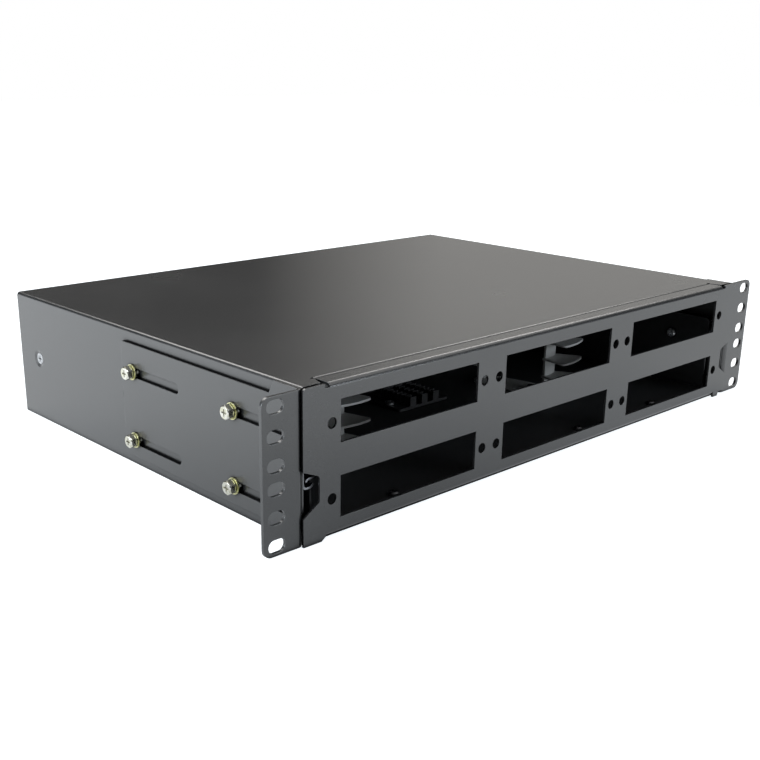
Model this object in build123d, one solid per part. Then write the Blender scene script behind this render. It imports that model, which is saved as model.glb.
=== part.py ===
from build123d import *
import math
import os

# Sliding fibre optic tray, two rack units high, for a 19 inch rack.
# Millimetres. X runs along the front, Y runs to the rear, Z is up.
# The origin is the centre of the rack hole pattern, on the front face of the rack ears.

# Rack standard
rack_hole_span = 465.1
rack_ear_edge = 8.75
rack_unit = 44.45
rack_hole_edge = 6.35
rack_slot_length = 11.4
rack_slot_width = 7.6

# Housing, seen from the line of the rack holes and from the height of two rack units
housing_inset = 18.55
housing_height_gap = 0.8
housing_front = 2.0
housing_rear = 318.5
housing_sheet = 1.2
fold_inside_radius = 0.8
return_width = 13.0
base_flange_height = 12.0
corner_relief = 2.5
cut_margin = 1.0

# Recess in the housing roof that takes the drawer's top flange
recess_rear = 10.5
recess_slant = 3.0
recess_side_gap = 1.0
lip_height = 8.0
relief_slot = 1.6

# Cable entries in the rear wall
entry_hole_radius = 12.5
entry_spacing = 46.0
entry_pair_offset = 127.0
entry_height = 9.0
grommet_bore_radius = 8.0
grommet_flange_radius = 15.5
grommet_lip = 2.4
grommet_chamfer = 1.0
small_clearance = 0.1

# Rear wall screws
rear_screw_height = 25.0
roof_screw_offset = 100.0
roof_screw_drop = 7.8
rear_nut_height = 2.5

# Telescopic slides
slide_front_gap = 1.0
slide_rear_gap = 15.5
slide_height = 27.0
slide_thickness = 10.0
slide_sheet = 1.2
ball_radius = 1.75
ball_depth = 5.0
race_clearance = 0.25
outer_corner_radius = 2.4
outer_wrap_angle = 65.0
inner_corner_radius = 1.8
inner_wrap_angle = 55.0
cage_sheet = 0.6
cage_corner_radius = 1.0
cage_reach = 0.6
cage_gap = 0.3
cage_length = 80.0
cage_front = 112.0
balls_per_row = 6
ball_hole_clearance = 0.15
bumper_corner = 1.0
bumper_inset = 1.5
bumper_length = 2.7
slide_screw_front = 41.0
slide_screw_middle = 172.0
slide_screw_end = 12.0
slide_screw_radius = 4.0
slide_screw_sink = 0.7
dimple_radius = 6.3
inner_screw_front = 40.0
inner_screw_middle = 160.0
inner_screw_end = 20.0

# Rack brackets and their bolts
bracket_sheet = 2.0
bracket_fold_radius = 1.5
bracket_rear = 174.0
bracket_upper_step = 7.55
bracket_lower_step = 6.35
bracket_flare_start = 22.0
bracket_flare_end = 26.0
bracket_gap = 0.1
bracket_rear_corner = 1.5
bracket_slot_play = 0.6
ear_height_gap = 1.4
ear_corner_radius = 5.0
bolt_front = 58.5
bolt_pitch = 103.5
bolt_upper_height = 18.3
bracket_slot_width = 6.5
bracket_travel = 47.0
bolt_radius = 2.5
bolt_head_across = 8.0
bolt_head_height = 3.6
bolt_crown_radius = 4.5
bolt_crown_chamfer = 0.9
spring_washer_height = 1.3
flat_washer_height = 1.0
washer_radius = 5.0
spring_washer_radius = 4.4
nut_radius = 3.9
nut_height = 3.2
nut_shoulder = 0.5
bolt_tip = 1.5
washer_split = 0.8

# Drawer: front panel
panel_sheet = 1.5
panel_front = -1.7
panel_overhang = 1.9
panel_height_gap = 0.9
panel_fold_radius = 1.4
panel_corner_radius = 2.5
panel_flange_inset = 16.7
panel_flange_rear = 9.5
panel_relief_width = 3.5
panel_relief_depth = 2.2
panel_tab_inset = 10.6
panel_tab_slant = 3.0
panel_tab_drop = 2.05
panel_bottom_flange = 18.0
panel_clip_inset = 6.0
panel_clip_slant = 1.0
panel_clip_height = 3.4
window_side_margin = 11.5
window_post = 25.3
window_height = 24.3
window_row_pitch = 42.9
window_mid_height = 0.4
window_columns = 3
plate_hole_inset = 6.05
plate_hole_radius = 3.25
notch_top = -0.7
notch_upper_corner = -5.9
notch_lower_corner = -20.6
notch_bottom = -28.4
notch_depth = 11.4
notch_upper_radius = 2.5
notch_lower_radius = 2.0

# Drawer: tray
tray_sheet = 1.2
tray_fold_radius = 1.0
tray_front = 9.0
tray_rear_gap = 20.5
tray_wall_top = 16.5
tray_corner_radius = 3.0
tray_rear_wall = 20.0
tie_bridge_sheet = 1.2
tie_bridge_width = 6.0
tie_bridge_height = 6.5
tie_bridge_clear = 14.0
tie_bridge_foot = 7.0
tie_bridge_inset = 24.0
tie_bridge_spacing = 46.0
tie_bridge_count = 4
panel_screw_spacing = 90.0
panel_screw_count = 4

# Fibre guides: upright walls on a round-ended foot, with fan-shaped tongues that hold the fibre in
guide_radius = 30.0
guide_wall = 2.0
guide_height = 43.0
guide_flange = 1.4
guide_tongue_reach = 50.0
guide_tongue_corner = 3.0
guide_wall_angle = 16.0
guide_tongue_angle = 19.0
guide_levels = 3
guide_wall_count = 2
guide_foot_reach = 35.0
guide_foot_width = 26.0
guide_screw_reach = 14.0
guide_row_pitch = 123.0
guide_left_inset = 82.8
guide_right_inset = 108.8
guide_back_inset = 62.8
guide_back_depth = 66.0
guide_left_turn = -4.0
guide_right_turn = 11.0
guide_back_turn = 30.0

# Splice holders
splice_length = 52.0
splice_width = 30.0
splice_base = 2.0
splice_corner_radius = 2.0
splice_fin_height = 7.0
splice_fin_thickness = 1.6
splice_channels = 6
splice_screw_inset = 4.5
splice_fin_length = 6.0
splice_row_pitch = 12.0
splice_rows = 3
splice_offset = 4.0
splice_front_depth = 127.0
splice_pitch = 48.0
splice_count = 2

# Small fasteners
pan_head_radius = 3.5
pan_head_height = 2.2
pan_head_chamfer = 0.8
screw_radius = 1.9
cross_width = 0.9
cross_length = 3.9
large_cross_length = 4.4
cross_depth = 1.2
screw_tip = 0.5

# Sizes worked out from the ones above
two_units = 2 * rack_unit
rack_hole_heights = (rack_hole_edge, rack_unit / 2, rack_unit - rack_hole_edge)
half_width = rack_hole_span / 2 - housing_inset
housing_height = two_units - housing_height_gap
inner_half = half_width - housing_sheet
housing_top = housing_height / 2
housing_bottom = -housing_height / 2
housing_fold = fold_inside_radius + housing_sheet
panel_back = panel_front + panel_sheet
panel_fold = panel_fold_radius + panel_sheet
panel_half = half_width + panel_overhang
panel_top = (two_units - panel_height_gap) / 2
panel_bottom = -panel_top
panel_flange_half = half_width - panel_flange_inset
panel_tab_inner = half_width - panel_tab_inset
panel_clip_start = half_width - panel_clip_inset
panel_flange_under = panel_bottom + panel_tab_drop
tray_under = panel_flange_under + panel_sheet
tray_floor = tray_under + tray_sheet
tray_half = inner_half - slide_thickness
recess_half = panel_flange_half + recess_side_gap
rear_wall_back = housing_rear - housing_sheet
rear_wall_face = rear_wall_back - housing_sheet
rear_wall_top = housing_top - housing_fold - small_clearance
bolt_places = (bolt_front, bolt_front + bolt_pitch)
bolt_heights = (bolt_upper_height, bolt_upper_height - rack_unit)
ear_top = (two_units - ear_height_gap) / 2
bracket_plate_top = ear_top - bracket_upper_step
bracket_plate_bottom = bracket_lower_step - ear_top
plate_outer = half_width + bracket_gap + bracket_sheet
slide_back = inner_half
slide_start = housing_front + slide_front_gap
slide_end = housing_rear - slide_rear_gap
slide_inner_end = slide_end - bumper_length - cage_gap
slide_screw_places = (slide_screw_front, slide_screw_middle, slide_end - slide_screw_end)
inner_screw_places = (inner_screw_front, inner_screw_middle, slide_inner_end - inner_screw_end)
tray_rear = housing_rear - tray_rear_gap
ball_height = slide_height / 2 - slide_sheet - race_clearance - ball_radius
cage_start = slide_sheet + cage_gap
window_pitch = 2 * (half_width - window_side_margin) / window_columns
window_width = window_pitch - window_post
window_rows = (window_mid_height - window_row_pitch / 2, window_mid_height + window_row_pitch / 2)
window_centres = [window_pitch * (i - (window_columns - 1) / 2) for i in range(window_columns)]
entry_places = [
    side * (entry_pair_offset + step * entry_spacing / 2) for side in (-1, 1) for step in (-1, 1)
]


# Helpers: a profile is drawn flat and pushed along one axis
def push_x(face, start, end):
    """Profile drawn as (y, z), pushed from x = start to x = end."""
    return Plane.YZ.offset(start) * extrude(face, end - start, dir=(0, 0, 1))


def push_y(face, start, end):
    """Profile drawn as (x, z), pushed from y = start to y = end."""
    return Plane.XZ.offset(-end) * extrude(face, end - start, dir=(0, 0, 1))


def push_z(face, start, end):
    """Profile drawn as (x, y), pushed from z = start to z = end."""
    return Plane.XY.offset(start) * extrude(face, end - start, dir=(0, 0, 1))


def box(x_range, y_range, z_range):
    """Plain block between two corners."""
    size = [high - low for low, high in (x_range, y_range, z_range)]
    middle = [(low + high) / 2 for low, high in (x_range, y_range, z_range)]
    return Pos(*middle) * Box(*size)


def outline(points):
    """Flat face inside straight edges."""
    return make_face(Polyline(*points, close=True))


def folded(points, thickness, inside_radius):
    """Section of a folded sheet. The points run along one skin, with the sheet on their left."""
    steps = []
    for (x0, y0), (x1, y1) in zip(points, points[1:]):
        length = math.hypot(x1 - x0, y1 - y0)
        steps.append(((x1 - x0) / length, (y1 - y0) / length))
    other = []
    radii = []
    for i, (x, y) in enumerate(points):
        before = steps[max(i - 1, 0)]
        after = steps[min(i, len(steps) - 1)]
        scale = thickness / (1 + before[0] * after[0] + before[1] * after[1])
        other.append((x - (before[1] + after[1]) * scale, y + (before[0] + after[0]) * scale))
        turn = before[0] * after[1] - before[1] * after[0]
        if abs(turn) < 1e-6:
            radii.append((0, 0))
        elif turn > 0:
            radii.append((inside_radius + thickness, inside_radius))
        else:
            radii.append((inside_radius, inside_radius + thickness))
    skin_radii = [pair[0] for pair in radii]
    other_radii = [pair[1] for pair in radii]
    loop = FilletPolyline(
        *points, *reversed(other), radius=skin_radii + list(reversed(other_radii)), close=True
    )
    return make_face(loop)


def both_sides(part):
    """A piece and its mirror image, left of the tray and right of it."""
    return part + mirror(part, about=Plane.YZ)


def to_left(part):
    """Right-hand piece mirrored to the left."""
    return mirror(part, about=Plane.YZ)


def rod_x(radius, start, end, y, z):
    """Round bar along X."""
    return Pos((start + end) / 2, y, z) * Rot(0, 90, 0) * Cylinder(radius, abs(end - start))


def rod_y(radius, x, start, end, z):
    """Round bar along Y."""
    return Pos(x, (start + end) / 2, z) * Rot(90, 0, 0) * Cylinder(radius, abs(end - start))


def rod_z(radius, x, y, start, end):
    """Round bar along Z."""
    return Pos(x, y, (start + end) / 2) * Cylinder(radius, abs(end - start))


def cone_x(radius_in, radius_out, start, end, y, z):
    """Cone along X with radius_in at x = start and radius_out at x = end."""
    middle = (start + end) / 2
    return Pos(middle, y, z) * Rot(0, 90, 0) * Cone(radius_in, radius_out, end - start)


def cross_recess(size):
    """Screwdriver recess that opens upwards at z = 0."""
    return Box(size, cross_width, 2 * cross_depth) + Box(cross_width, size, 2 * cross_depth)


def pan_screw(shank_length):
    """Pan head screw standing on z = 0 with its shank below."""
    head = Cylinder(pan_head_radius, pan_head_height)
    head = chamfer(head.edges().group_by(Axis.Z)[-1], pan_head_chamfer)
    screw = Pos(0, 0, pan_head_height / 2) * head
    screw += rod_z(screw_radius, 0, 0, -shank_length, pan_head_height / 2)
    return screw - Pos(0, 0, pan_head_height) * cross_recess(cross_length)


# Housing: roof and sides folded from one sheet
def make_housing_wrap():
    half, top, bottom = half_width, housing_top, housing_bottom
    fold_start = housing_rear - housing_fold
    section = folded(
        [(half, bottom), (half, top), (-half, top), (-half, bottom)], housing_sheet, fold_inside_radius
    )
    wrap = push_y(section, housing_front, fold_start)
    side_return = folded(
        [(return_width - half, housing_rear), (-half, housing_rear), (-half, fold_start - housing_sheet)],
        housing_sheet,
        fold_inside_radius,
    )
    wrap += both_sides(push_z(side_return, bottom, top - housing_fold))
    roof_return = folded(
        [(housing_rear, top - return_width), (housing_rear, top), (fold_start - housing_sheet, top)],
        housing_sheet,
        fold_inside_radius,
    )
    roof_half = half - return_width - corner_relief
    wrap += push_x(roof_return, -roof_half, roof_half)

    recess = outline(
        [
            (-recess_half - recess_slant, housing_front - cut_margin),
            (-recess_half, recess_rear),
            (-recess_half - relief_slot, recess_rear),
            (-recess_half - relief_slot, recess_rear + relief_slot),
            (-recess_half, recess_rear + housing_fold),
            (recess_half, recess_rear + housing_fold),
            (recess_half + relief_slot, recess_rear + relief_slot),
            (recess_half + relief_slot, recess_rear),
            (recess_half, recess_rear),
            (recess_half + recess_slant, housing_front - cut_margin),
        ]
    )
    wrap -= push_z(recess, top - 2 * housing_fold, top + cut_margin)
    lip = folded(
        [
            (recess_rear + housing_fold + housing_sheet, top),
            (recess_rear, top),
            (recess_rear, top - lip_height),
        ],
        housing_sheet,
        fold_inside_radius,
    )
    wrap += push_x(lip, -panel_flange_half, panel_flange_half)

    for place in slide_screw_places:
        wrap -= both_sides(slide_screw_seat(place, small_clearance))
    for place in bolt_places:
        for height in bolt_heights:
            hole = rod_x(nut_radius - nut_shoulder, inner_half - cut_margin, half + cut_margin, place, height)
            wrap -= both_sides(hole)
    for x, z in rear_screw_points():
        wrap -= rod_y(screw_radius + small_clearance, x, fold_start, housing_rear + cut_margin, z)
    return wrap


def slide_screw_seat(place, clearance):
    """Dimple in the housing side, and the conical seat of the slide screw under it."""
    head_face = half_width - slide_screw_sink
    dimple = cone_x(slide_screw_radius + clearance, dimple_radius, head_face, half_width, place, 0)
    return dimple + slide_screw_cone(place, clearance)


def slide_screw_cone(place, clearance):
    """Countersunk cone from the screw's face to the inside of the slide's web."""
    head_face = half_width - slide_screw_sink
    tip = inner_half - slide_sheet
    tip_radius = slide_screw_radius - (head_face - tip)
    return cone_x(tip_radius + clearance, slide_screw_radius + clearance, tip, head_face, place, 0)


def rear_screw_points():
    """Places of the screws behind the tray, as (x, z)."""
    side = half_width - return_width / 2
    points = [(x, z) for x in (-side, side) for z in (-rear_screw_height, rear_screw_height)]
    roof = housing_top - roof_screw_drop
    return points + [(-roof_screw_offset, roof), (roof_screw_offset, roof)]


# Base pan: floor, side flanges and rear wall folded from one sheet
def make_base_pan():
    half = inner_half
    fold_start = rear_wall_back - housing_fold
    section = folded(
        [
            (-half, housing_bottom + base_flange_height),
            (-half, housing_bottom),
            (half, housing_bottom),
            (half, housing_bottom + base_flange_height),
        ],
        housing_sheet,
        fold_inside_radius,
    )
    pan = push_y(section, housing_front, fold_start)
    rear = folded(
        [
            (fold_start - housing_sheet, housing_bottom),
            (rear_wall_back, housing_bottom),
            (rear_wall_back, rear_wall_top),
        ],
        housing_sheet,
        fold_inside_radius,
    )
    wall_half = half - corner_relief
    pan += push_x(rear, -wall_half, wall_half)
    cut_start = rear_wall_face - cut_margin
    cut_end = rear_wall_back + cut_margin
    for x in entry_places:
        pan -= rod_y(entry_hole_radius, x, cut_start, cut_end, entry_height)
    for x, z in rear_screw_points():
        pan -= rod_y(screw_radius + small_clearance, x, cut_start, cut_end, z)
    return pan


def make_rear_grommets():
    """Rubber ring in each cable entry: two lips and a groove that grips the wall."""
    groove = housing_sheet / 2 + small_clearance / 2
    edge = groove + grommet_lip
    hole = entry_hole_radius - small_clearance
    section = make_face(
        Polyline(
            (grommet_bore_radius, -edge),
            (grommet_flange_radius - grommet_chamfer, -edge),
            (grommet_flange_radius, -edge + grommet_chamfer),
            (grommet_flange_radius, -groove),
            (hole, -groove),
            (hole, groove),
            (grommet_flange_radius, groove),
            (grommet_flange_radius, edge - grommet_chamfer),
            (grommet_flange_radius - grommet_chamfer, edge),
            (grommet_bore_radius, edge),
            close=True,
        )
    )
    ring = revolve(Plane.XZ * section, Axis.Z, 360)
    middle = (rear_wall_back + rear_wall_face) / 2
    return [Pos(x, middle, entry_height) * Rot(90, 0, 0) * ring for x in entry_places]


def make_rear_screws():
    screw = pan_screw(2 * housing_sheet + rear_nut_height + screw_tip)
    return [Pos(x, housing_rear, z) * Rot(-90, 0, 0) * screw for x, z in rear_screw_points()]


def make_rear_clinch_nuts():
    rings = []
    start = rear_wall_face - rear_nut_height
    for x, z in rear_screw_points():
        ring = rod_y(nut_radius, x, start, rear_wall_face, z)
        bore = rod_y(screw_radius + small_clearance, x, start - cut_margin, rear_wall_face + cut_margin, z)
        rings.append(ring - bore)
    return rings


# Telescopic slides, right-hand one, drawn with depth from the housing wall inwards
def outer_section():
    """Outer member: flat web whose edges are rolled over the balls."""
    web = slide_sheet / 2
    race = ball_radius + race_clearance + slide_sheet / 2
    corner = outer_corner_radius
    crown = ball_height + race
    upper = (
        Line((web, 0), (web, crown - corner))
        + CenterArc((web + corner, crown - corner), corner, 180, -90)
        + Line((web + corner, crown), (ball_depth, crown))
        + CenterArc((ball_depth, ball_height), race, 90, -outer_wrap_angle)
    )
    return half_to_section(upper, slide_sheet)


def inner_section():
    """Inner member: web on the drawer's side whose edges are rolled under the balls."""
    web = slide_thickness - slide_sheet / 2
    race = ball_radius + race_clearance + slide_sheet / 2
    corner = inner_corner_radius
    seat = ball_height - race
    upper = (
        Line((web, 0), (web, seat - corner))
        + CenterArc((web - corner, seat - corner), corner, 0, 90)
        + Line((web - corner, seat), (ball_depth, seat))
        + CenterArc((ball_depth, ball_height), race, 270, -inner_wrap_angle)
    )
    return half_to_section(upper, slide_sheet)


def cage_section():
    """Ball cage: thin channel whose flanges carry the balls."""
    web = cage_start + cage_sheet / 2
    reach = ball_depth + ball_radius + cage_reach
    corner = cage_corner_radius
    upper = (
        Line((web, 0), (web, ball_height - corner))
        + CenterArc((web + corner, ball_height - corner), corner, 180, -90)
        + Line((web + corner, ball_height), (reach, ball_height))
    )
    return half_to_section(upper, cage_sheet)


def half_to_section(upper, sheet):
    """Strip round the upper half of a centre line, with its mirror image below."""
    wire = Wire(upper.edges())
    strip = wire.offset_2d(sheet / 2, side=Side.BOTH, closed=True)
    face = Sketch() + Face(strip)
    return face + mirror(face, about=Plane.XZ)


def place_slide(section, start, end):
    """Section (depth, height) set against the right-hand housing wall."""
    solid = push_y(section, start, end)
    return Pos(slide_back, 0, 0) * mirror(solid, about=Plane.YZ)


def make_slide_outer():
    rail = place_slide(outer_section(), slide_start, slide_end)
    for place in slide_screw_places:
        rail -= slide_screw_cone(place, small_clearance)
    return rail


def make_slide_inner():
    rail = place_slide(inner_section(), slide_start, slide_inner_end)
    web_x = slide_back - slide_thickness
    for place in inner_screw_places:
        start, end = web_x - cut_margin, web_x + slide_sheet + cut_margin
        rail -= rod_x(screw_radius + small_clearance, start, end, place, 0)
    return rail


def ball_places():
    """Centres of the balls along the cage."""
    pitch = cage_length / balls_per_row
    return [cage_front + pitch * (i + 0.5) for i in range(balls_per_row)]


def make_slide_cage():
    cage = place_slide(cage_section(), cage_front, cage_front + cage_length)
    for place in ball_places():
        for side in (-1, 1):
            hole = rod_z(
                ball_radius + ball_hole_clearance,
                slide_back - ball_depth,
                place,
                side * ball_height - ball_radius,
                side * ball_height + ball_radius,
            )
            cage -= hole
    return cage


def make_slide_balls():
    x = slide_back - ball_depth
    return [
        Pos(x, place, side * ball_height) * Sphere(ball_radius)
        for place in ball_places()
        for side in (-1, 1)
    ]


def make_slide_screws():
    screws = []
    for place in slide_screw_places:
        screw = slide_screw_cone(place, 0)
        face = half_width - slide_screw_sink
        recess = Pos(face, place, 0) * Rot(0, 90, 0) * cross_recess(large_cross_length)
        screws.append(screw - recess)
    return screws


def make_slide_bumper():
    depth = (slide_sheet, slide_thickness - bumper_inset)
    bumper = box(
        (slide_back - depth[1], slide_back - depth[0]),
        (slide_inner_end + cage_gap, slide_end),
        (-slide_height / 4, slide_height / 4),
    )
    return fillet(bumper.edges().filter_by(Axis.X), bumper_corner)


def make_inner_screws():
    """Screws that hold the drawer's side wall to the inner member."""
    x = tray_half - tray_sheet
    screw = pan_screw(tray_sheet + slide_sheet + screw_tip)
    return [Pos(x, place, 0) * Rot(0, -90, 0) * screw for place in inner_screw_places]


# Rack brackets
def make_bracket():
    """Right-hand bracket, made as the left one and mirrored."""
    inner = half_width + bracket_gap
    ear_edge = rack_hole_span / 2 + rack_ear_edge
    top = ear_top
    section = folded(
        [(-ear_edge, 0), (-inner, 0), (-inner, bracket_rear)], bracket_sheet, bracket_fold_radius
    )
    bracket = push_z(section, -top, top)
    outer_corners = bracket.edges().filter_by(Axis.Y).group_by(Axis.X)[0]
    bracket = fillet(outer_corners, ear_corner_radius)
    beyond = bracket_rear + cut_margin
    for edge, limit in ((bracket_plate_top, top), (bracket_plate_bottom, -top)):
        past = limit + math.copysign(cut_margin, limit)
        waste = outline(
            [
                (bracket_flare_start, past),
                (bracket_flare_start, limit),
                (bracket_flare_end, edge),
                (beyond, edge),
                (beyond, past),
            ]
        )
        bracket -= push_x(waste, -ear_edge, -inner + cut_margin)
    rear_corners = bracket.edges().filter_by(Axis.X).group_by(Axis.Y)[-1]
    bracket = fillet(rear_corners, bracket_rear_corner)

    slot = SlotOverall(rack_slot_length, rack_slot_width)
    for height in rack_hole_heights:
        for z in (height - two_units / 2, two_units / 2 - height):
            place = Pos(-rack_hole_span / 2, z) * slot
            bracket -= push_y(place, -cut_margin, bracket_sheet + cut_margin)
    length = bracket_travel + bracket_slot_width + bracket_slot_play
    for place in bolt_places:
        for z in bolt_heights:
            long_slot = Pos(place - bracket_travel / 2, z) * SlotOverall(length, bracket_slot_width)
            bracket -= push_x(long_slot, -plate_outer - cut_margin, -inner + cut_margin)
    return to_left(bracket)


def bolt_points():
    """Places of the bracket bolts, as (y, z)."""
    return [(place, height) for place in bolt_places for height in bolt_heights]


def make_bracket_bolts():
    seat = plate_outer + small_clearance + flat_washer_height + spring_washer_height
    hexagon = RegularPolygon(bolt_head_across / 2, 6, major_radius=False)
    head = extrude(hexagon, bolt_head_height, dir=(0, 0, 1))
    crown = Cylinder(bolt_crown_radius, 2 * bolt_head_height)
    crown = chamfer(crown.edges().group_by(Axis.Z)[-1], bolt_crown_chamfer)
    head &= crown
    head -= Pos(0, 0, bolt_head_height) * cross_recess(large_cross_length)
    shank = rod_z(bolt_radius, 0, 0, inner_half - seat - nut_height - bolt_tip, bolt_head_height / 2)
    bolt = head + shank
    return [Pos(seat, y, z) * Rot(0, 90, 0) * bolt for y, z in bolt_points()]


def make_spring_washers():
    start = plate_outer + small_clearance + flat_washer_height
    washers = []
    for y, z in bolt_points():
        ring = rod_x(spring_washer_radius, start, start + spring_washer_height, y, z)
        end = start + spring_washer_height
        ring -= rod_x(bolt_radius + small_clearance, start - cut_margin, end + cut_margin, y, z)
        half_split = washer_split / 2
        split_x = (start - cut_margin, end + cut_margin)
        split = box(split_x, (y - half_split, y + half_split), (z, z + washer_radius))
        washers.append(ring - split)
    return washers


def make_flat_washers():
    start = plate_outer + small_clearance
    washers = []
    for y, z in bolt_points():
        end = start + flat_washer_height
        ring = rod_x(washer_radius, start, end, y, z)
        ring -= rod_x(bolt_radius + small_clearance, start - cut_margin, end + cut_margin, y, z)
        washers.append(ring)
    return washers


def make_bracket_nuts():
    """Clinch nut pressed into the housing side behind each bolt."""
    nuts = []
    for y, z in bolt_points():
        body = rod_x(nut_radius, inner_half - nut_height, inner_half, y, z)
        neck = nut_radius - nut_shoulder - small_clearance
        spigot = rod_x(neck, inner_half - nut_shoulder, half_width - small_clearance, y, z)
        start = inner_half - nut_height - cut_margin
        bore = rod_x(bolt_radius + small_clearance, start, half_width + cut_margin, y, z)
        nuts.append(body + spigot - bore)
    return nuts


# Drawer front panel
def make_front_panel():
    half = panel_half
    skin = outline(
        [
            (-half, panel_bottom),
            (-panel_tab_inner, panel_bottom),
            (-panel_tab_inner + panel_tab_slant, panel_flange_under),
            (panel_tab_inner - panel_tab_slant, panel_flange_under),
            (panel_tab_inner - panel_tab_slant, panel_bottom),
            (panel_clip_start - panel_clip_slant, panel_bottom),
            (panel_clip_start, panel_bottom + panel_clip_height),
            (half, panel_bottom + panel_clip_height),
            (half, panel_top),
            (-half, panel_top),
        ]
    )
    upper = skin.vertices().group_by(Axis.Y)[-1]
    skin = fillet(upper, panel_corner_radius)
    for side in (-1, 1):
        middle = side * (panel_flange_half + panel_relief_width / 2)
        relief = Pos(middle, panel_top) * Rectangle(panel_relief_width, 2 * panel_relief_depth)
        skin -= relief
        notch = make_face(
            FilletPolyline(
                (side * (half + cut_margin), notch_top),
                (side * (half - notch_depth), notch_upper_corner),
                (side * (half - notch_depth), notch_lower_corner),
                (side * (half + cut_margin), notch_bottom),
                radius=[notch_upper_radius, notch_lower_radius],
            )
            + Line((side * (half + cut_margin), notch_bottom), (side * (half + cut_margin), notch_top))
        )
        skin -= notch
    panel = push_y(skin, panel_front, panel_back)

    # The middle of the sheet turns back into the top flange and the bottom flange
    skin_depth = (panel_front - cut_margin, panel_back + cut_margin)
    flange_span = (-panel_flange_half, panel_flange_half)
    panel -= box(flange_span, skin_depth, (panel_top - panel_fold, panel_top + cut_margin))
    bottom_half = panel_tab_inner - panel_tab_slant
    bottom_cut = (panel_flange_under - cut_margin, panel_flange_under + panel_fold)
    panel -= box((-bottom_half, bottom_half), skin_depth, bottom_cut)
    top_flange = folded(
        [
            (panel_flange_rear, panel_top),
            (panel_front, panel_top),
            (panel_front, panel_top - panel_fold - panel_sheet),
        ],
        panel_sheet,
        panel_fold_radius,
    )
    bottom_flange = folded(
        [
            (panel_front, panel_flange_under + panel_fold + panel_sheet),
            (panel_front, panel_flange_under),
            (panel_front + panel_bottom_flange, panel_flange_under),
        ],
        panel_sheet,
        panel_fold_radius,
    )
    panel += push_x(top_flange, -panel_flange_half, panel_flange_half)
    panel += push_x(bottom_flange, -bottom_half, bottom_half)

    for x in window_centres:
        for z in window_rows:
            opening = Pos(x, z) * Rectangle(window_width, window_height)
            for side in (-1, 1):
                hole_x = x + side * (window_width / 2 + plate_hole_inset)
                opening += Pos(hole_x, z) * Circle(plate_hole_radius)
            panel -= push_y(opening, *skin_depth)
    for x in panel_screw_places():
        y = panel_screw_line()
        bottom, top = panel_flange_under - cut_margin, tray_under + cut_margin
        panel -= rod_z(screw_radius + small_clearance, x, y, bottom, top)
    return panel


def panel_screw_places():
    """Screws along the joint of the front panel and the tray."""
    return [panel_screw_spacing * (i - (panel_screw_count - 1) / 2) for i in range(panel_screw_count)]


def panel_screw_line():
    """Depth of the screws, in the middle of the part of the flange that the tray covers."""
    return (tray_front + panel_front + panel_bottom_flange) / 2


# Drawer tray: floor, side walls and rear wall folded from one sheet
def make_drawer_tray():
    half = tray_half
    fold = tray_fold_radius + tray_sheet
    section = folded(
        [(-half, tray_wall_top), (-half, tray_under), (half, tray_under), (half, tray_wall_top)],
        tray_sheet,
        tray_fold_radius,
    )
    fold_start = tray_rear - fold
    tray = push_y(section, tray_front, fold_start)
    wall_corners = tray.edges().filter_by(Axis.X).group_by(Axis.Z)[-1]
    tray = fillet(wall_corners, tray_corner_radius)
    rear = folded(
        [
            (fold_start - tray_sheet, tray_under),
            (tray_rear, tray_under),
            (tray_rear, tray_under + tray_rear_wall),
        ],
        tray_sheet,
        tray_fold_radius,
    )
    tray += push_x(rear, -half + corner_relief + fold, half - corner_relief - fold)

    floor_holes = [(x, panel_screw_line()) for x in panel_screw_places()]
    for x, y in floor_holes + guide_screw_points() + splice_screw_points():
        bottom, top = tray_under - cut_margin, tray_floor + cut_margin
        tray -= rod_z(screw_radius + small_clearance, x, y, bottom, top)
    for place in inner_screw_places:
        start, end = half - tray_sheet - cut_margin, half + cut_margin
        tray -= both_sides(rod_x(screw_radius + small_clearance, start, end, place, 0))
    return tray


def make_tie_bridges():
    """Hat-shaped strips for cable ties, welded to the tray floor by their feet."""
    leg = tie_bridge_clear / 2
    section = folded(
        [
            (-leg - tie_bridge_foot, 0),
            (-leg, 0),
            (-leg, tie_bridge_height),
            (leg, tie_bridge_height),
            (leg, 0),
            (leg + tie_bridge_foot, 0),
        ],
        tie_bridge_sheet,
        fold_inside_radius,
    )
    bridge = push_y(section, -tie_bridge_width / 2, tie_bridge_width / 2)
    y = tray_rear - tie_bridge_inset
    middle = (tie_bridge_count - 1) / 2
    return [
        Pos(tie_bridge_spacing * (i - middle), y, tray_floor) * bridge for i in range(tie_bridge_count)
    ]


def make_panel_screws():
    screw = pan_screw(tray_sheet + panel_sheet - small_clearance)
    return [Pos(x, panel_screw_line(), tray_floor) * screw for x in panel_screw_places()]


# Fibre guides: two curved walls back to back on one foot, with tongues that fan outwards at
# three levels, so that the fibre runs round them at its least bend radius
def guide_places():
    """Axis of each guide as (x, y) and the angle that it is turned by."""
    back = tray_rear - guide_back_depth
    front = back - guide_row_pitch
    left = guide_left_inset - tray_half
    right = tray_half - guide_right_inset
    side = tray_half - guide_back_inset
    return [
        (left, front, guide_left_turn),
        (right, front, guide_right_turn),
        (-side, back, guide_back_turn),
        (side, back, -guide_back_turn),
    ]


def guide_screw_points():
    """Screws in the foot of each guide, in line with its two walls."""
    points = []
    for x, y, turn in guide_places():
        for reach in (-guide_screw_reach, guide_screw_reach):
            a = math.radians(turn)
            points.append((x - reach * math.sin(a), y + reach * math.cos(a)))
    return points


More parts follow.
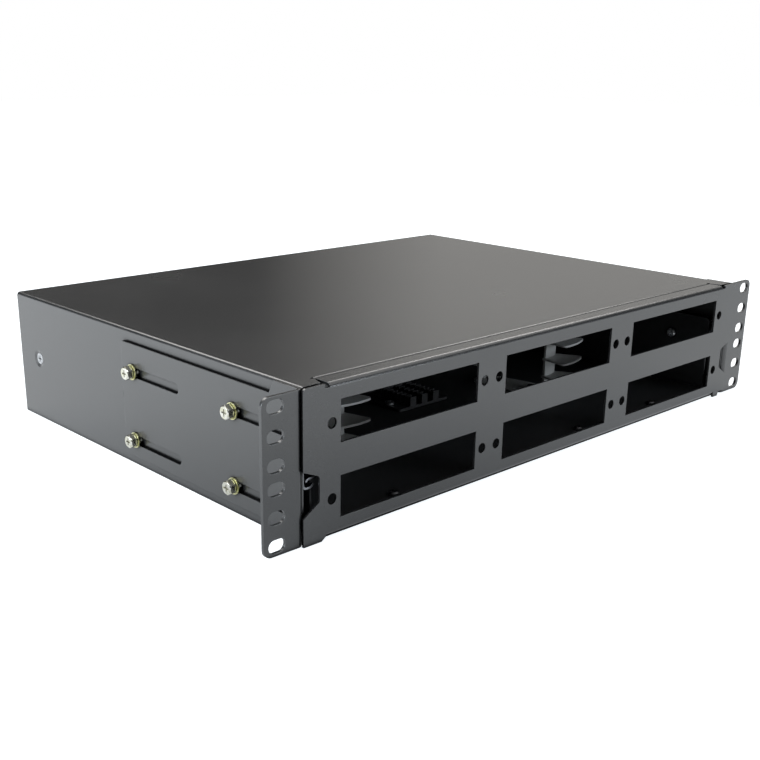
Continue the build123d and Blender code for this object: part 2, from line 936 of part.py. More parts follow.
def guide_sector(inner_radius, outer_radius, half_angle):
    """Part of a ring, as wide as twice the angle, about the X axis."""
    slope = math.tan(math.radians(half_angle))
    far = outer_radius + cut_margin
    wedge = outline([(0, 0), (far, -far * slope), (far, far * slope)])
    return (Circle(outer_radius) - Circle(inner_radius)) & wedge


def make_guide():
    """One guide with its axis on Z, standing on z = 0, with its walls and tongues along Y."""
    wall_inside = guide_radius - guide_wall
    wall = guide_sector(wall_inside, guide_radius, guide_wall_angle)
    post = extrude(wall, guide_height, dir=(0, 0, 1))
    tongue = guide_sector(wall_inside, guide_tongue_reach, guide_tongue_angle)
    tip = tongue.vertices().sort_by(lambda v: math.hypot(v.X, v.Y))[-2:]
    tongue = extrude(fillet(tip, guide_tongue_corner), guide_flange, dir=(0, 0, 1))
    pitch = (guide_height - guide_flange) / guide_levels
    for level in range(1, guide_levels + 1):
        post += Pos(0, 0, level * pitch) * tongue
    foot = Rot(0, 0, 90) * SlotOverall(2 * guide_foot_reach, guide_foot_width)
    solid = extrude(foot, guide_flange, dir=(0, 0, 1))
    for i in range(guide_wall_count):
        solid += Rot(0, 0, 360 * i / guide_wall_count - 90) * post
    for y in (-guide_screw_reach, guide_screw_reach):
        solid -= rod_z(screw_radius + small_clearance, 0, y, -cut_margin, guide_flange + cut_margin)
    return solid


def make_fibre_guides():
    guide = make_guide()
    return [Pos(x, y, tray_floor) * Rot(0, 0, turn) * guide for x, y, turn in guide_places()]


def make_guide_screws():
    screw = pan_screw(guide_flange + tray_sheet + screw_tip)
    return [Pos(x, y, tray_floor + guide_flange) * screw for x, y in guide_screw_points()]


# Splice holders: combs that grip the splice sleeves
def splice_places():
    """Middle of each holder, one behind the other."""
    front = tray_front + splice_front_depth
    return [(splice_offset, front + splice_pitch * i) for i in range(splice_count)]


def splice_screw_points():
    points = []
    for x, y in splice_places():
        for side in (-1, 1):
            points.append((x + side * (splice_length / 2 - splice_screw_inset), y))
    return points


def make_splice_holder():
    base = RectangleRounded(splice_length, splice_width, splice_corner_radius)
    body = extrude(base, splice_base, dir=(0, 0, 1))
    pitch = (splice_width - splice_fin_thickness) / splice_channels
    for row in range(splice_rows):
        x = splice_row_pitch * (row - (splice_rows - 1) / 2)
        for i in range(splice_channels + 1):
            y = -splice_width / 2 + splice_fin_thickness / 2 + i * pitch
            fin = Pos(x, y) * Rectangle(splice_fin_length, splice_fin_thickness)
            body += extrude(fin, splice_base + splice_fin_height, dir=(0, 0, 1))
    for side in (-1, 1):
        x = side * (splice_length / 2 - splice_screw_inset)
        body -= rod_z(screw_radius + small_clearance, x, 0, -cut_margin, splice_base + cut_margin)
    return body


def make_splice_holders():
    holder = make_splice_holder()
    return [Pos(x, y, tray_floor) * holder for x, y in splice_places()]


def make_splice_screws():
    screw = pan_screw(splice_base + tray_sheet + screw_tip)
    return [Pos(x, y, tray_floor + splice_base) * screw for x, y in splice_screw_points()]


# Writing the pieces
def save(name, shapes):
    """Write one node, a single solid or a group of like solids."""
    if isinstance(shapes, (list, tuple)):
        solids = [solid for shape in shapes for solid in shape.solids()]
        shape = Compound(children=solids)
    else:
        shape = shapes
    shape.label = name
    export_step(shape, f"parts/{name}.step")


def save_pair(name, shapes):
    """Write the right-hand node and its mirror image on the left."""
    right = shapes if isinstance(shapes, (list, tuple)) else [shapes]
    save(f"{name}_right", right)
    save(f"{name}_left", [to_left(shape) for shape in right])


os.makedirs("parts", exist_ok=True)
save("housing_wrap", make_housing_wrap())
save("base_pan", make_base_pan())
save("rear_grommets", make_rear_grommets())
save("rear_screws", make_rear_screws())
save("rear_clinch_nuts", make_rear_clinch_nuts())
save_pair("slide_outer", make_slide_outer())
save_pair("slide_inner", make_slide_inner())
save_pair("slide_cage", make_slide_cage())
save_pair("slide_balls", make_slide_balls())
save_pair("slide_screws", make_slide_screws())
save_pair("slide_bumper", make_slide_bumper())
save_pair("inner_slide_screws", make_inner_screws())
save_pair("rack_bracket", make_bracket())
save_pair("bracket_bolts", make_bracket_bolts())
save_pair("bracket_spring_washers", make_spring_washers())
save_pair("bracket_flat_washers", make_flat_washers())
save_pair("bracket_clinch_nuts", make_bracket_nuts())
save("front_panel", make_front_panel())
save("drawer_tray", make_drawer_tray())
save("tie_bridges", make_tie_bridges())
save("panel_screws", make_panel_screws())
for number, guide in enumerate(make_fibre_guides(), start=1):
    save(f"fibre_guide_{number}", guide)
save("guide_screws", make_guide_screws())
for number, holder in enumerate(make_splice_holders(), start=1):
    save(f"splice_holder_{number}", holder)
save("splice_screws", make_splice_screws())
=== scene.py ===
import math

import bpy
from mathutils import Matrix, Vector


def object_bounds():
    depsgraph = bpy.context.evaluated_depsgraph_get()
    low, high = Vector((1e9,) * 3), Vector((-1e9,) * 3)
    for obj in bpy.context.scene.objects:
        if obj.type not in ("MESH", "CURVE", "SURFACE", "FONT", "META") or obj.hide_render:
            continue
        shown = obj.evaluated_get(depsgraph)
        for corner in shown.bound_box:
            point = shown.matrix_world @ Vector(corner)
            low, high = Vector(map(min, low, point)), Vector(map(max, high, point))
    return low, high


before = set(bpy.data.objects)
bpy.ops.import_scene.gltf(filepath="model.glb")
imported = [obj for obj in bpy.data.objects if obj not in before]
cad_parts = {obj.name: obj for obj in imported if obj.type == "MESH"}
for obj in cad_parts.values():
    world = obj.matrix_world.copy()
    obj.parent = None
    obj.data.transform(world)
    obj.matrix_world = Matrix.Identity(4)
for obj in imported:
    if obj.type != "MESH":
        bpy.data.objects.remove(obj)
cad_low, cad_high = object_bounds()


# Housing wrap
# Roof and both sides of the housing, folded from one sheet of 1.2 mm steel and finished in black
# satin powder coat. Bends and cut edges are painted paler, edge wear together with a painted
# highlight, and slots and inner corners are painted near-black and metallic as painted shade.
coat_black = (0.0305, 0.0310, 0.0318, 1.0)
coat_wear_and_highlight = (0.200, 0.207, 0.217, 1.0)
recess_shade_black = (0.004, 0.004, 0.0045, 1.0)
satin = (0.23, 0.28)
satin_index = 1.80
# Arris radius, and how strongly arrises are painted paler: edge wear together with a painted
# highlight
housing_arris = 0.0003
arris_gain = 2.2
wear_and_highlight_share = 0.75
peel_per_metre = 900.0
peel_strength = 0.07
peel_depth = 0.0001
patches_per_metre = 9.0
patch_darkest, patch_lightest = 0.90, 1.10
patch_low, patch_high = 0.2, 0.8
speck_low, speck_high = 0.60, 0.75
speck_share = 0.04
# Painted shade in slots, dimples and inner corners: reach and range of the occlusion, and the least
# openness kept
recess_reach = 0.004
recess_closed, recess_open = 0.40, 0.92
least_open = 0.12


def new_group(name, inputs, outputs):
    """Shader node group with named sockets, each given as socket type, name and default."""
    group = bpy.data.node_groups.new(name, "ShaderNodeTree")
    for kind, label, default in inputs:
        socket = group.interface.new_socket(name=label, in_out="INPUT", socket_type=kind)
        socket.default_value = default
    for kind, label in outputs:
        group.interface.new_socket(name=label, in_out="OUTPUT", socket_type=kind)
    return group, group.nodes.new("NodeGroupInput"), group.nodes.new("NodeGroupOutput")


def use_group(tree, group, **values):
    """Place a node group in a material, with this material's own values."""
    node = tree.nodes.new("ShaderNodeGroup")
    node.node_tree = group
    for label, value in values.items():
        node.inputs[label.replace("_", " ")].default_value = value
    return node


def new_material(name):
    material = bpy.data.materials.new(name)
    material.use_nodes = True
    tree = material.node_tree
    return material, tree, tree.nodes["Principled BSDF"]


def wire(tree, source, target):
    tree.links.new(source, target)


def own_place(tree):
    """Place on the piece, in metres of its own coordinates."""
    return tree.nodes.new("ShaderNodeTexCoord").outputs["Object"]


def maths(tree, operation, first, second, clamp=False):
    """Sum, product or the like of two values; each is a socket or a number."""
    node = tree.nodes.new("ShaderNodeMath")
    node.operation = operation
    node.use_clamp = clamp
    for socket, value in zip(node.inputs, (first, second)):
        if isinstance(value, (int, float)):
            socket.default_value = value
        else:
            wire(tree, value, socket)
    return node.outputs[0]


def spread(tree, value, low, high, new_low, new_high):
    """The value moved from one range to another, and held there."""
    node = tree.nodes.new("ShaderNodeMapRange")
    node.inputs["From Min"].default_value = low
    node.inputs["From Max"].default_value = high
    node.inputs["To Min"].default_value = new_low
    node.inputs["To Max"].default_value = new_high
    wire(tree, value, node.inputs["Value"])
    return node.outputs["Result"]


def noise(tree, per_metre, detail=2.0, roughness=0.5, stretch=None):
    """Noise over the piece; its scale is a socket or a number."""
    place = own_place(tree)
    if stretch:
        mapping = tree.nodes.new("ShaderNodeMapping")
        mapping.inputs["Scale"].default_value = stretch
        wire(tree, place, mapping.inputs["Vector"])
        place = mapping.outputs["Vector"]
    node = tree.nodes.new("ShaderNodeTexNoise")
    node.inputs["Detail"].default_value = detail
    node.inputs["Roughness"].default_value = roughness
    wire(tree, place, node.inputs["Vector"])
    if isinstance(per_metre, (int, float)):
        node.inputs["Scale"].default_value = per_metre
    else:
        wire(tree, per_metre, node.inputs["Scale"])
    return node.outputs["Fac"]


def blend_colours(tree, factor, first, second):
    """Mix of two colours; each is a socket or a colour."""
    mix = tree.nodes.new("ShaderNodeMix")
    mix.data_type = "RGBA"
    wire(tree, factor, mix.inputs["Factor"])
    for socket, value in ((mix.inputs[6], first), (mix.inputs[7], second)):
        if isinstance(value, tuple):
            socket.default_value = value
        else:
            wire(tree, value, socket)
    return mix.outputs[2]


def bumped(tree, height, strength, depth, normal=None):
    bump = tree.nodes.new("ShaderNodeBump")
    bump.inputs["Strength"].default_value = strength
    bump.inputs["Distance"].default_value = depth
    wire(tree, height, bump.inputs["Height"])
    if normal is not None:
        wire(tree, normal, bump.inputs["Normal"])
    return bump.outputs["Normal"]


def toned(colour, factor):
    """The colour made darker or lighter."""
    return tuple(factor * part for part in colour[:3]) + (1.0,)


def make_edge_group():
    """Rounded normal at sharp arrises, and a mask that is 1 on them."""
    group, given, made = new_group(
        "softened_edges",
        [("NodeSocketFloat", "Radius", 0.0005), ("NodeSocketFloat", "Gain", 3.0)],
        [("NodeSocketVector", "Normal"), ("NodeSocketFloat", "Edge")],
    )
    bevel = group.nodes.new("ShaderNodeBevel")
    bevel.samples = 6
    wire(group, given.outputs["Radius"], bevel.inputs["Radius"])
    flat = group.nodes.new("ShaderNodeNewGeometry")
    facing = group.nodes.new("ShaderNodeVectorMath")
    facing.operation = "DOT_PRODUCT"
    wire(group, bevel.outputs["Normal"], facing.inputs[0])
    wire(group, flat.outputs["Normal"], facing.inputs[1])
    turned = maths(group, "SUBTRACT", 1.0, facing.outputs["Value"])
    edge = maths(group, "MULTIPLY", turned, given.outputs["Gain"], clamp=True)
    wire(group, bevel.outputs["Normal"], made.inputs["Normal"])
    wire(group, edge, made.inputs["Edge"])
    return group


def make_grain_group():
    """Orange peel of a powder coat: height of the grain, slow patches of sheen and pale specks."""
    group, given, made = new_group(
        "coat_grain",
        [("NodeSocketFloat", "Grain Scale", 1400.0), ("NodeSocketFloat", "Patch Scale", 11.0)],
        [("NodeSocketFloat", "Height"), ("NodeSocketFloat", "Patch"), ("NodeSocketFloat", "Speck")],
    )
    peel = noise(group, given.outputs["Grain Scale"], detail=2.0, roughness=0.55)
    patch = noise(group, given.outputs["Patch Scale"], detail=3.0, roughness=0.6)
    speck = spread(group, peel, speck_low, speck_high, 0.0, 1.0)
    wire(group, peel, made.inputs["Height"])
    wire(group, patch, made.inputs["Patch"])
    wire(group, speck, made.inputs["Speck"])
    return group


def make_recess_group():
    """Mask for painted shade: 1 in the open, falling in slots, dimples and inner corners."""
    group, given, made = new_group(
        "recesses",
        [("NodeSocketFloat", "Reach", 0.004), ("NodeSocketFloat", "Least", 0.2)],
        [("NodeSocketFloat", "Open")],
    )
    hollow = group.nodes.new("ShaderNodeAmbientOcclusion")
    hollow.samples = 8
    wire(group, given.outputs["Reach"], hollow.inputs["Distance"])
    exposed = spread(group, hollow.outputs["AO"], recess_closed, recess_open, 0.0, 1.0)
    wire(group, maths(group, "MAXIMUM", exposed, given.outputs["Least"]), made.inputs["Open"])
    return group


edge_group = make_edge_group()
grain_group = make_grain_group()
recess_group = make_recess_group()


def powder_coat(name, colour, wear_and_highlight, arris, sheen, gloss_index):
    """Powder coat with grain, slow patches, arrises painted paler as edge wear and highlight, and
    painted shade in recesses.
    """
    material, tree, shader = new_material(name)
    edges = use_group(tree, edge_group, Radius=arris, Gain=arris_gain)
    grain = use_group(tree, grain_group, Grain_Scale=peel_per_metre, Patch_Scale=patches_per_metre)
    recess = use_group(tree, recess_group, Reach=recess_reach, Least=least_open)

    darkest, lightest = toned(colour, patch_darkest), toned(colour, patch_lightest)
    film = blend_colours(tree, grain.outputs["Patch"], darkest, lightest)
    speck = maths(tree, "MULTIPLY", grain.outputs["Speck"], speck_share)
    film = blend_colours(tree, speck, film, wear_and_highlight)
    # Arrises painted paler: edge wear together with a painted highlight
    edge_wear_and_highlight = maths(tree, "MULTIPLY", edges.outputs["Edge"], wear_and_highlight_share)
    film = blend_colours(tree, edge_wear_and_highlight, film, wear_and_highlight)
    # Painted shade: slots, dimples and inner corners turn near-black here and metallic below
    coated = blend_colours(tree, recess.outputs["Open"], recess_shade_black, film)
    wire(tree, coated, shader.inputs["Base Color"])

    patchy_sheen = spread(tree, grain.outputs["Patch"], patch_low, patch_high, *sheen)
    wire(tree, patchy_sheen, shader.inputs["Roughness"])
    recess_shade_metal = spread(tree, recess.outputs["Open"], least_open, 1.0, 1.0, 0.0)
    wire(tree, recess_shade_metal, shader.inputs["Metallic"])
    peel = bumped(tree, grain.outputs["Height"], peel_strength, peel_depth, edges.outputs["Normal"])
    wire(tree, peel, shader.inputs["Normal"])
    shader.inputs["IOR"].default_value = gloss_index
    return material


def dress(material, *names):
    """Give CAD nodes their finish."""
    for name in names:
        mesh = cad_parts[name].data
        mesh.materials.clear()
        mesh.materials.append(material)


housing_coat = powder_coat(
    "black_powder_coat", coat_black, coat_wear_and_highlight, housing_arris, satin, satin_index
)
dress(housing_coat, "housing_wrap")


# Base pan
# Floor, low side flanges and rear wall of the housing, folded from the same sheet steel and
# spot-welded inside the wrap. Its coat is rougher, and painted darker as shade for the dim inside.
# Painted shade: darker copy of the housing coat for the dim inside
inside_shaded_black = (0.022, 0.023, 0.025, 1.0)
inside_shaded_wear_and_highlight = (0.110, 0.113, 0.118, 1.0)
inside_arris = 0.0004
inside_sheen = (0.52, 0.62)
inside_index = 1.5
shaded_inside_coat = powder_coat(
    "shaded_inside_powder_coat", inside_shaded_black, inside_shaded_wear_and_highlight, inside_arris, inside_sheen, inside_index
)
dress(shaded_inside_coat, "base_pan")


# Rear grommets
# Soft rubber rings snapped into the four cable entries, so that no cable rubs on a cut edge.
# They are moulded, matt black, with a faint bloom.
rubber_black = (0.012, 0.012, 0.013, 1.0)
rubber_bloom = (0.030, 0.030, 0.030, 1.0)
rubber_sheen = (0.62, 0.78)
blooms_per_metre = 60.0
pores_per_metre = 900.0
pore_strength = 0.25
pore_depth = 0.0001
noise_low, noise_high = 0.3, 0.7


def matt_rubber(name, colour, film, sheen):
    """Moulded rubber with fine pores and a faint bloom."""
    material, tree, shader = new_material(name)
    bloom = noise(tree, blooms_per_metre, detail=4.0)
    wire(tree, blend_colours(tree, bloom, colour, film), shader.inputs["Base Color"])
    wire(tree, spread(tree, bloom, noise_low, noise_high, *sheen), shader.inputs["Roughness"])
    pores = bumped(tree, noise(tree, pores_per_metre), pore_strength, pore_depth)
    wire(tree, pores, shader.inputs["Normal"])
    return material


rubber = matt_rubber("black_rubber", rubber_black, rubber_bloom, rubber_sheen)
dress(rubber, "rear_grommets")


# Rear screws and nuts
# Pan head screws that close the wrap onto the rear wall, with clinch nuts pressed in behind them.
# The screws are black zinc plated, the nuts clear zinc.
screw_black = (0.050, 0.050, 0.052, 1.0)
screw_black_film = (0.090, 0.090, 0.094, 1.0)
zinc_clear = (0.62, 0.64, 0.66, 1.0)
zinc_clear_film = (0.72, 0.73, 0.74, 1.0)
screw_black_sheen = (0.30, 0.42)
zinc_clear_sheen = (0.24, 0.36)
plated_arris = 0.00022
clouds_per_metre = 420.0
cloud_thin, cloud_thick = 0.35, 0.65
tool_marks_per_metre = 2600.0
tool_mark_strength = 0.12
tool_mark_depth = 0.00005


def plated_steel(name, colour, film, sheen, rolling=None):
    """Zinc plate over machined or rolled steel: metal with a cloudy passivation film."""
    material, tree, shader = new_material(name)
    edges = use_group(tree, edge_group, Radius=plated_arris)
    cloud = noise(tree, clouds_per_metre, detail=3.0, roughness=0.6)
    cloud = spread(tree, cloud, cloud_thin, cloud_thick, 0.0, 1.0)
    wire(tree, blend_colours(tree, cloud, colour, film), shader.inputs["Base Color"])
    marks = noise(tree, tool_marks_per_metre, stretch=rolling)
    wire(tree, spread(tree, marks, noise_low, noise_high, *sheen), shader.inputs["Roughness"])
    normal = edges.outputs["Normal"]
    worked = bumped(tree, marks, tool_mark_strength, tool_mark_depth, normal)
    wire(tree, worked, shader.inputs["Normal"])
    shader.inputs["Metallic"].default_value = 1.0
    return material


black_screw = plated_steel("black_screw", screw_black, screw_black_film, screw_black_sheen)
clear_zinc = plated_steel("clear_zinc", zinc_clear, zinc_clear_film, zinc_clear_sheen)
dress(black_screw, "rear_screws")
dress(clear_zinc, "rear_clinch_nuts")


# Slides, their screws and bumpers
# Telescopic ball slides: steel members rolled round the balls and zinc plated, with fine lines
# along their length from the rolling; their zinc is painted darker than clear zinc, as shade.
# Countersunk screws in dull zinc hold them to the housing and the drawer, and a rubber bumper
# stops the inner member at the rear.
sides = ("left", "right")
# Painted shade: the slides' zinc is darker than clear zinc
zinc_rolled_shaded = (0.27, 0.28, 0.30, 1.0)
zinc_rolled_shaded_film = (0.38, 0.39, 0.41, 1.0)
zinc_dull = (0.36, 0.37, 0.39, 1.0)
zinc_dull_film = (0.56, 0.57, 0.58, 1.0)
slide_sheen = (0.26, 0.42)
rolling_lines = (1.0, 0.02, 1.0)
shaded_rolled_zinc = plated_steel("shaded_rolled_zinc", zinc_rolled_shaded, zinc_rolled_shaded_film, slide_sheen, rolling_lines)
dull_zinc = plated_steel("dull_zinc", zinc_dull, zinc_dull_film, slide_sheen)
for side in sides:
    dress(shaded_rolled_zinc, f"slide_outer_{side}", f"slide_inner_{side}", f"slide_cage_{side}")
    dress(dull_zinc, f"slide_screws_{side}", f"inner_slide_screws_{side}")
    dress(rubber, f"slide_bumper_{side}")


# Slide balls
# Hardened bearing balls in the cages, ground and polished, with only a breath of haze from the
# grease that they run in.
ball_steel = (0.75, 0.75, 0.76, 1.0)
ball_sheen = (0.06, 0.12)
haze_per_metre = 300.0
haze_tone = 0.9


def polished_steel(name, colour, sheen):
    """Ground and polished steel under a slight haze."""
    material, tree, shader = new_material(name)
    haze = noise(tree, haze_per_metre)
    hazed = blend_colours(tree, haze, colour, toned(colour, haze_tone))
    wire(tree, hazed, shader.inputs["Base Color"])
    wire(tree, spread(tree, haze, noise_low, noise_high, *sheen), shader.inputs["Roughness"])
    shader.inputs["Metallic"].default_value = 1.0
    return material


bearing_steel = polished_steel("bearing_steel", ball_steel, ball_sheen)
for side in sides:
    dress(bearing_steel, f"slide_balls_{side}")


# Drawer tray, tie bridges and panel screws
# Floor and walls of the drawer, folded sheet steel with the inside coat painted darker as shade,
# and the hat-shaped strips welded to its floor. Pan head screws in black zinc hold the front panel
# to it.
dress(shaded_inside_coat, "drawer_tray", "tie_bridges")
dress(black_screw, "panel_screws")


# Fibre guides
# Upright walls with fan-shaped tongues on a round-ended foot, moulded in grey plastic and held to
# the tray by two black screws each. The mould leaves a fine spark texture, and the edges are
# painted paler as a painted highlight.
guide_grey = (0.52, 0.525, 0.52, 1.0)
guide_shade = (0.44, 0.445, 0.44, 1.0)
guide_edge_highlight = (0.90, 0.91, 0.91, 1.0)
guide_sheen = (0.42, 0.52)
guide_count = 4
moulded_arris = 0.0004
moulded_arris_gain = 2.5
flow_marks_per_metre = 35.0
spark_per_metre = 1800.0
spark_strength = 0.18
spark_depth = 0.00008


def moulded_plastic(name, colour, shade, edge_highlight, sheen):
    """Moulded plastic with slow flow marks, spark texture and edges painted paler as a highlight.
    """
    material, tree, shader = new_material(name)
    edges = use_group(tree, edge_group, Radius=moulded_arris, Gain=moulded_arris_gain)
    body = blend_colours(tree, noise(tree, flow_marks_per_metre, detail=3.0), shade, colour)
    # Edges painted paler: a painted highlight
    wire(tree, blend_colours(tree, edges.outputs["Edge"], body, edge_highlight), shader.inputs["Base Color"])
    spark = noise(tree, spark_per_metre)
    wire(tree, spread(tree, spark, noise_low, noise_high, *sheen), shader.inputs["Roughness"])
    texture = bumped(tree, spark, spark_strength, spark_depth, edges.outputs["Normal"])
    wire(tree, texture, shader.inputs["Normal"])
    return material


grey_plastic = moulded_plastic("grey_plastic", guide_grey, guide_shade, guide_edge_highlight, guide_sheen)
for number in range(1, guide_count + 1):
    dress(grey_plastic, f"fibre_guide_{number}")
dress(black_screw, "guide_screws")


# Splice holders
# Combs that grip the splice sleeves, moulded in a black grade of the same plastic and held to the
# tray by two pan head screws each.
holder_black = (0.013, 0.013, 0.014, 1.0)
holder_shade = (0.009, 0.009, 0.010, 1.0)
# Painted highlight: the holders' edges are a little paler
holder_edge_highlight = (0.045, 0.045, 0.050, 1.0)
holder_sheen = (0.60, 0.72)
dark_plastic = moulded_plastic(
    "dark_plastic", holder_black, holder_shade, holder_edge_highlight, holder_sheen
)
dress(dark_plastic, "splice_holder_1", "splice_holder_2")
dress(clear_zinc, "splice_screws")


# Front panel
# Drawer front, punched and folded from 1.5 mm sheet steel. It is screwed to the tray and
# finished in the same satin coat as the housing.
dress(housing_coat, "front_panel")


# Rack brackets
# L-shaped brackets of 2 mm steel in the same coat, bolted to the housing through long slots.
# The thicker sheet gets a wider pale line painted along its cut edges, edge wear and painted
# highlight.
bracket_arris = 0.0006
bracket_coat = powder_coat(
    "bracket_powder_coat", coat_black, coat_wear_and_highlight, bracket_arris, satin, satin_index
)
dress(bracket_coat, "rack_bracket_left", "rack_bracket_right")


# Bracket bolts, washers and nuts
# M5 hexagon bolts with a cross recess, each with a spring washer and a flat washer, in yellow
# passivated zinc that is paler on the bolts. The clinch nuts pressed into the housing are clear.
zinc_yellow = (0.52, 0.51, 0.26, 1.0)
zinc_yellow_film = (0.72, 0.71, 0.48, 1.0)
zinc_pale = (0.55, 0.54, 0.42, 1.0)
zinc_pale_film = (0.74, 0.73, 0.68, 1.0)
washer_sheen = (0.20, 0.32)
bolt_sheen = (0.18, 0.30)
yellow_zinc = plated_steel("yellow_zinc", zinc_yellow, zinc_yellow_film, washer_sheen)
pale_zinc = plated_steel("pale_zinc", zinc_pale, zinc_pale_film, bolt_sheen)
for side in sides:
    dress(pale_zinc, f"bracket_bolts_{side}")
    dress(yellow_zinc, f"bracket_spring_washers_{side}", f"bracket_flat_washers_{side}")
    dress(clear_zinc, f"bracket_clinch_nuts_{side}")


# Studio floor and surround
# A wide sheet of white paper under the tray, in a white room. Both are white to the camera; the
# paper still takes the tray's shadow, and reflections see it lit with a painted glow added.
floor_half = 6.0
floor_gap = 0.0002
floor_height = cad_low[2] - floor_gap
floor_glow = 0.95
glow_tint = (0.93, 0.97, 1.0, 1.0)
paper_shade = (0.80, 0.80, 0.80, 1.0)
paper_white = (0.83, 0.83, 0.83, 1.0)
mottles_per_metre = 3.0
towards_left_rear = (-0.7, 0.7, 0.0)
dull_way, bright_way = -0.35, 0.60
dull_mirror, bright_mirror = 0.52, 0.80
# Painted shadow in the reflected glow by the tray's near corner
near_corner = (-0.22, -0.05, floor_height)
corner_near, corner_far = 0.08, 0.32
corner_shadow_depth = 0.36
world_level = 0.20


def stage_mesh(name, points, faces):
    """Studio piece that isn't part of the tray."""
    mesh = bpy.data.meshes.new(name)
    mesh.from_pydata(points, [], faces)
    piece = bpy.data.objects.new(name, mesh)
    bpy.context.scene.collection.objects.link(piece)
    return piece


def stage_material(name):
    """Material without the usual shader; returns its output's surface socket too."""
    material, tree, shader = new_material(name)
    tree.nodes.remove(shader)
    return material, tree, tree.nodes["Material Output"].inputs["Surface"]


def measured(tree, operation, point):
    """Dot product of the place on the piece with a direction, or its distance to a point."""
    node = tree.nodes.new("ShaderNodeVectorMath")
    node.operation = operation
    node.inputs[1].default_value = point
    wire(tree, own_place(tree), node.inputs[0])
    return node.outputs["Value"]


def any_ray(tree, *kinds):
    """1 for rays of these kinds."""
    light_path = tree.nodes.new("ShaderNodeLightPath")
    found = light_path.outputs[kinds[0]]
    for kind in kinds[1:]:
        found = maths(tree, "MAXIMUM", found, light_path.outputs[kind])
    return found


floor_corners = [
    (-floor_half, -floor_half, floor_height),
    (floor_half, -floor_half, floor_height),
    (floor_half, floor_half, floor_height),
    (-floor_half, floor_half, floor_height),
]
floor = stage_mesh("studio_floor", floor_corners, [(0, 1, 2, 3)])

paper, tree, surface = stage_material("studio_paper")
sheet = tree.nodes.new("ShaderNodeBsdfDiffuse")
mottled = blend_colours(tree, noise(tree, mottles_per_metre), paper_shade, paper_white)
wire(tree, mottled, sheet.inputs["Color"])

# For reflections only, the sheet glows as a painted reflection, brighter at the left and rear and
# duller at the right front, with a painted shadow by the tray's near corner
slope = measured(tree, "DOT_PRODUCT", towards_left_rear)
reflection_slope = spread(tree, slope, dull_way, bright_way, dull_mirror, bright_mirror)
corner = measured(tree, "DISTANCE", near_corner)
corner_painted_shadow = spread(tree, corner, corner_near, corner_far, corner_shadow_depth, 1.0)
mirrored = maths(tree, "MULTIPLY", reflection_slope, corner_painted_shadow)
dull = maths(tree, "MULTIPLY", any_ray(tree, "Is Glossy Ray"), mirrored)
through = any_ray(tree, "Is Camera Ray", "Is Transmission Ray")
white = maths(tree, "MULTIPLY", through, floor_glow)
glow = tree.nodes.new("ShaderNodeEmission")
glow.inputs["Color"].default_value = glow_tint
wire(tree, maths(tree, "ADD", white, dull), glow.inputs["Strength"])
lit = tree.nodes.new("ShaderNodeAddShader")
wire(tree, sheet.outputs[0], lit.inputs[0])
wire(tree, glow.outputs[0], lit.inputs[1])
seen = any_ray(tree, "Is Camera Ray", "Is Glossy Ray", "Is Transmission Ray")
choice = tree.nodes.new("ShaderNodeMixShader")
wire(tree, seen, choice.inputs[0])
wire(tree, sheet.outputs[0], choice.inputs[1])
wire(tree, lit.outputs[0], choice.inputs[2])
wire(tree, choice.outputs[0], surface)
floor.data.materials.append(paper)

world = bpy.data.worlds.new("studio_world")
bpy.context.scene.world = world
world.use_nodes = True
tree = world.node_tree
background = tree.nodes["Background"]
seen = any_ray(tree, "Is Camera Ray", "Is Glossy Ray", "Is Transmission Ray")
wire(tree, spread(tree, seen, 0.0, 1.0, world_level, 1.0), background.inputs["Strength"])
background.inputs["Color"].default_value = (1.0, 1.0, 1.0, 1.0)


# Lamps
# Four soft boxes aimed at the tray: cool ones at the left and in front, warmer and weaker ones at
# the back and high on the right.
cool_light = (0.87, 0.94, 1.0)
warm_light = (1.0, 0.98, 0.94)
tray_middle = Vector((0.0, 0.12, 0.0))


def soft_box(name, place, width, height, watts, colour):
    """Area lamp aimed at the tray's middle."""
    lamp = bpy.data.lights.new(name, "AREA")
    lamp.color = colour
    lamp.shape = "RECTANGLE"
    lamp.size = width
    lamp.size_y = height
    lamp.energy = watts
    holder = bpy.data.objects.new(name, lamp)
    away = Vector(place) - tray_middle
    holder.rotation_euler = away.to_track_quat("Z", "Y").to_euler()
    holder.location = place
    bpy.context.scene.collection.objects.link(holder)


left_place, front_place = (-1.7, 0.45, 0.50), (0.8, -2.0, 0.36)
back_place, right_place = (0.18, 2.0, 1.47), (1.74, 1.13, 1.40)
soft_box("left_soft_box", left_place, width=1.4, height=0.8, watts=30.0, colour=cool_light)
soft_box("front_soft_box", front_place, width=1.6, height=0.7, watts=26.0, colour=cool_light)
soft_box("back_soft_box", back_place, width=1.3, height=0.85, watts=13.0, colour=warm_light)
soft_box("right_strip", right_place, width=2.0, height=0.45, watts=11.5, colour=warm_light)
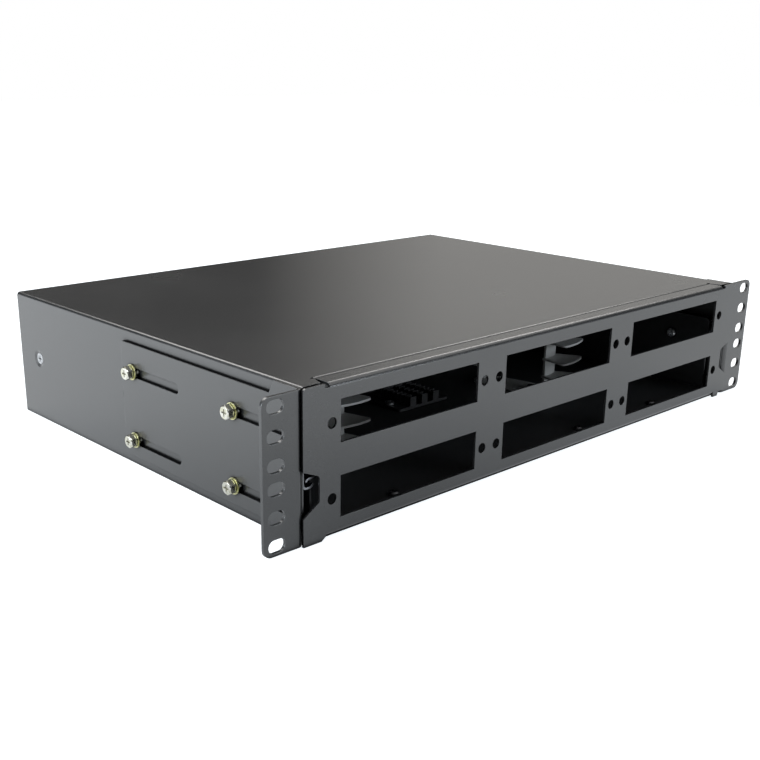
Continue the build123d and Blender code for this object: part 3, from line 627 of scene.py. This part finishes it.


# Dark flags
# A ring of black felt round the set, above the picture's edge, that keeps the roof of the tray
# from mirroring the white room. It glows faintly, and up to half white towards the right rear, as
# a painted reflection on the roof; only reflections see it.
flag_radius = 2.2
flag_low = 0.05
flag_high = 1.45
flag_parts = 96
towards_pale_end = (0.906, 0.423, 0.0)
pale_start, pale_end = 1.86, 2.07
# Painted reflection: the felt's glow, faint to half white
felt_dark, felt_reflection_glow = 0.03, 0.53

ring = []
for part in range(flag_parts):
    angle = 2 * math.pi * part / flag_parts
    for height in (flag_low, flag_high):
        ring.append((flag_radius * math.cos(angle), flag_radius * math.sin(angle), height))
faces = []
for part in range(flag_parts):
    this, following = 2 * part, 2 * ((part + 1) % flag_parts)
    faces.append((this, following, following + 1, this + 1))
flags = stage_mesh("studio_flags", ring, faces)
flags.visible_camera = False
flags.visible_diffuse = False
flags.visible_shadow = False
flags.visible_transmission = False

felt, tree, surface = stage_material("studio_felt")
along = measured(tree, "DOT_PRODUCT", towards_pale_end)
felt_glow = tree.nodes.new("ShaderNodeEmission")
felt_glow.inputs["Color"].default_value = warm_light + (1.0,)
brightness = spread(tree, along, pale_start, pale_end, felt_dark, felt_reflection_glow)
wire(tree, brightness, felt_glow.inputs["Strength"])
wire(tree, felt_glow.outputs[0], surface)
flags.data.materials.append(felt)


# Camera
# Stands in front of the tray's left corner, a little above it. Its place, turn, lens and shift
# were fitted to the rack holes and edges of the tray in the picture.
camera_data = bpy.data.cameras.new("camera")
camera_data.sensor_width = 36.0
camera_data.lens = 51.157
camera_data.shift_x = 0.02925
camera_data.shift_y = 0.0498
camera_data.clip_start = 0.01
camera = bpy.data.objects.new("camera", camera_data)
bpy.context.scene.collection.objects.link(camera)
right = Vector((0.73402, -0.67906, 0.00994))
up = Vector((0.20569, 0.23624, 0.94968))
forward = Vector((0.64723, 0.69503, -0.31308))
place = Vector((-0.55193, -0.40357, 0.20184))
camera.matrix_world = Matrix(
    (
        (right.x, up.x, -forward.x, place.x),
        (right.y, up.y, -forward.y, place.y),
        (right.z, up.z, -forward.z, place.z),
        (0, 0, 0, 1),
    )
)
bpy.context.scene.camera = camera
bpy.context.scene.view_settings.view_transform = "Standard"
